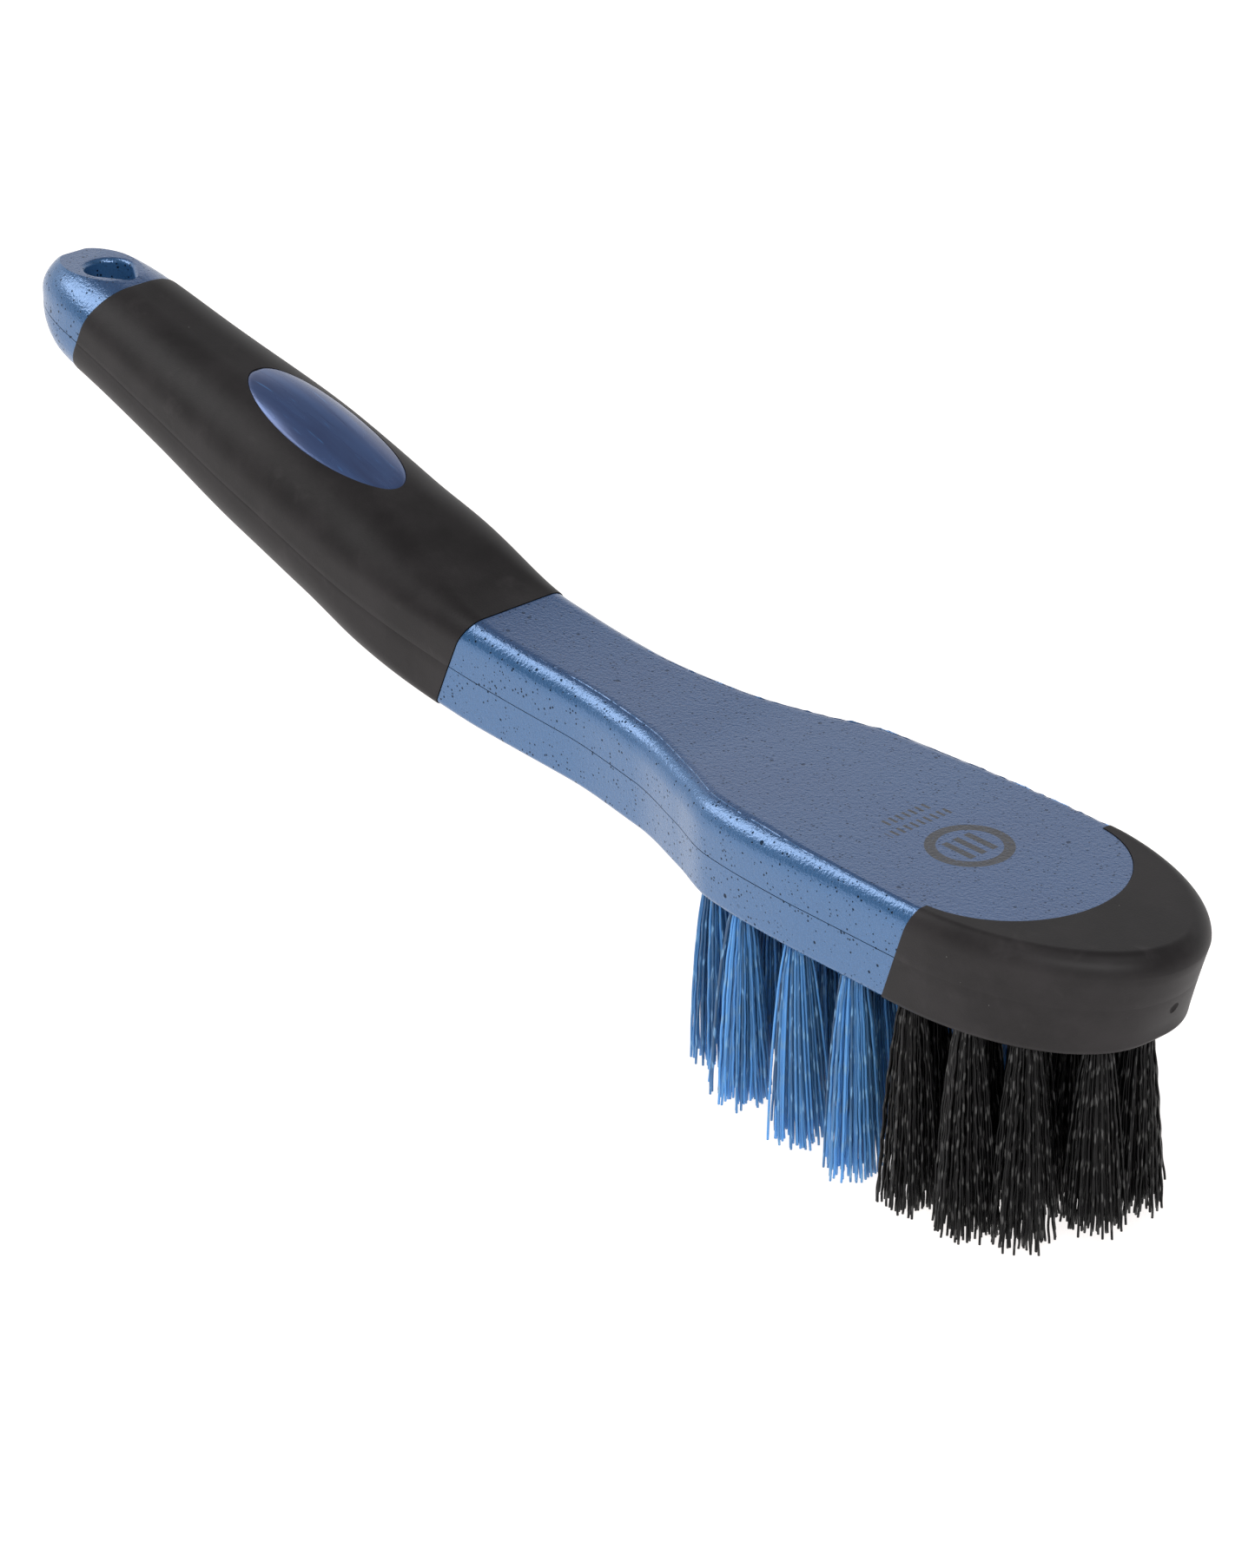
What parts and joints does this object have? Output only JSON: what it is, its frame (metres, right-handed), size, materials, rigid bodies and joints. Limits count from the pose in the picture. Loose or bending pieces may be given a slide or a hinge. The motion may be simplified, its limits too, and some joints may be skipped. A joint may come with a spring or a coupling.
{
  "type": "scrubbing brush",
  "caption": "Long-handled scrubbing brush with a rounded block, waisted neck, rising rubber grip, hanging hole and stapled bristle tufts in two colours.",
  "frame": {"origin": "centre of the bounding box in X and Y, on the plane of the longest bristle tips", "axes": "+X from the hang end to the toe of the block, +Y to the left of someone who looks towards the toe, +Z from the bristle tips to the flat top of the block"},
  "size_m": [0.37, 0.06, 0.1151],
  "materials": {
    "blue_plastic": "satin pearl moulded plastic",
    "black_rubber": "matt soft-touch rubber",
    "blue_bristle": "stiff wavy plastic filament",
    "black_bristle": "stiff crimped plastic filament",
    "anchor_steel": "plain flat wire"
  },
  "bodies": {
    "root": {"brush_body": "blue_plastic", "grip_sleeve": "black_rubber", "toe_bumper": "black_rubber", "bristle_tuft_outer_left_1": "blue_bristle", "bristle_tuft_outer_left_2": "blue_bristle", "bristle_tuft_outer_left_3": "blue_bristle", "bristle_tuft_outer_left_4": "blue_bristle", "bristle_tuft_outer_left_5": "black_bristle", "bristle_tuft_outer_left_6": "black_bristle", "bristle_tuft_outer_right_1": "blue_bristle", "bristle_tuft_outer_right_2": "blue_bristle", "bristle_tuft_outer_right_3": "blue_bristle", "bristle_tuft_outer_right_4": "blue_bristle", "bristle_tuft_outer_right_5": "black_bristle", "bristle_tuft_outer_right_6": "black_bristle", "bristle_tuft_inner_left_1": "blue_bristle", "bristle_tuft_inner_left_2": "blue_bristle", "bristle_tuft_inner_left_3": "blue_bristle", "bristle_tuft_inner_left_4": "black_bristle", "bristle_tuft_inner_left_5": "black_bristle", "bristle_tuft_inner_left_6": "black_bristle", "bristle_tuft_inner_right_1": "blue_bristle", "bristle_tuft_inner_right_2": "blue_bristle", "bristle_tuft_inner_right_3": "blue_bristle", "bristle_tuft_inner_right_4": "black_bristle", "bristle_tuft_inner_right_5": "black_bristle", "bristle_tuft_inner_right_6": "black_bristle", "bristle_tuft_toe_left_1": "black_bristle", "bristle_tuft_toe_left_2": "black_bristle", "bristle_tuft_toe_right_1": "black_bristle", "bristle_tuft_toe_right_2": "black_bristle", "tuft_anchor_outer_left_1": "anchor_steel", "tuft_anchor_outer_left_2": "anchor_steel", "tuft_anchor_outer_left_3": "anchor_steel", "tuft_anchor_outer_left_4": "anchor_steel", "tuft_anchor_outer_left_5": "anchor_steel", "tuft_anchor_outer_left_6": "anchor_steel", "tuft_anchor_outer_right_1": "anchor_steel", "tuft_anchor_outer_right_2": "anchor_steel", "tuft_anchor_outer_right_3": "anchor_steel", "tuft_anchor_outer_right_4": "anchor_steel", "tuft_anchor_outer_right_5": "anchor_steel", "tuft_anchor_outer_right_6": "anchor_steel", "tuft_anchor_inner_left_1": "anchor_steel", "tuft_anchor_inner_left_2": "anchor_steel", "tuft_anchor_inner_left_3": "anchor_steel", "tuft_anchor_inner_left_4": "anchor_steel", "tuft_anchor_inner_left_5": "anchor_steel", "tuft_anchor_inner_left_6": "anchor_steel", "tuft_anchor_inner_right_1": "anchor_steel", "tuft_anchor_inner_right_2": "anchor_steel", "tuft_anchor_inner_right_3": "anchor_steel", "tuft_anchor_inner_right_4": "anchor_steel", "tuft_anchor_inner_right_5": "anchor_steel", "tuft_anchor_inner_right_6": "anchor_steel", "tuft_anchor_toe_left_1": "anchor_steel", "tuft_anchor_toe_left_2": "anchor_steel", "tuft_anchor_toe_right_1": "anchor_steel", "tuft_anchor_toe_right_2": "anchor_steel"}
  },
  "joints": []
}
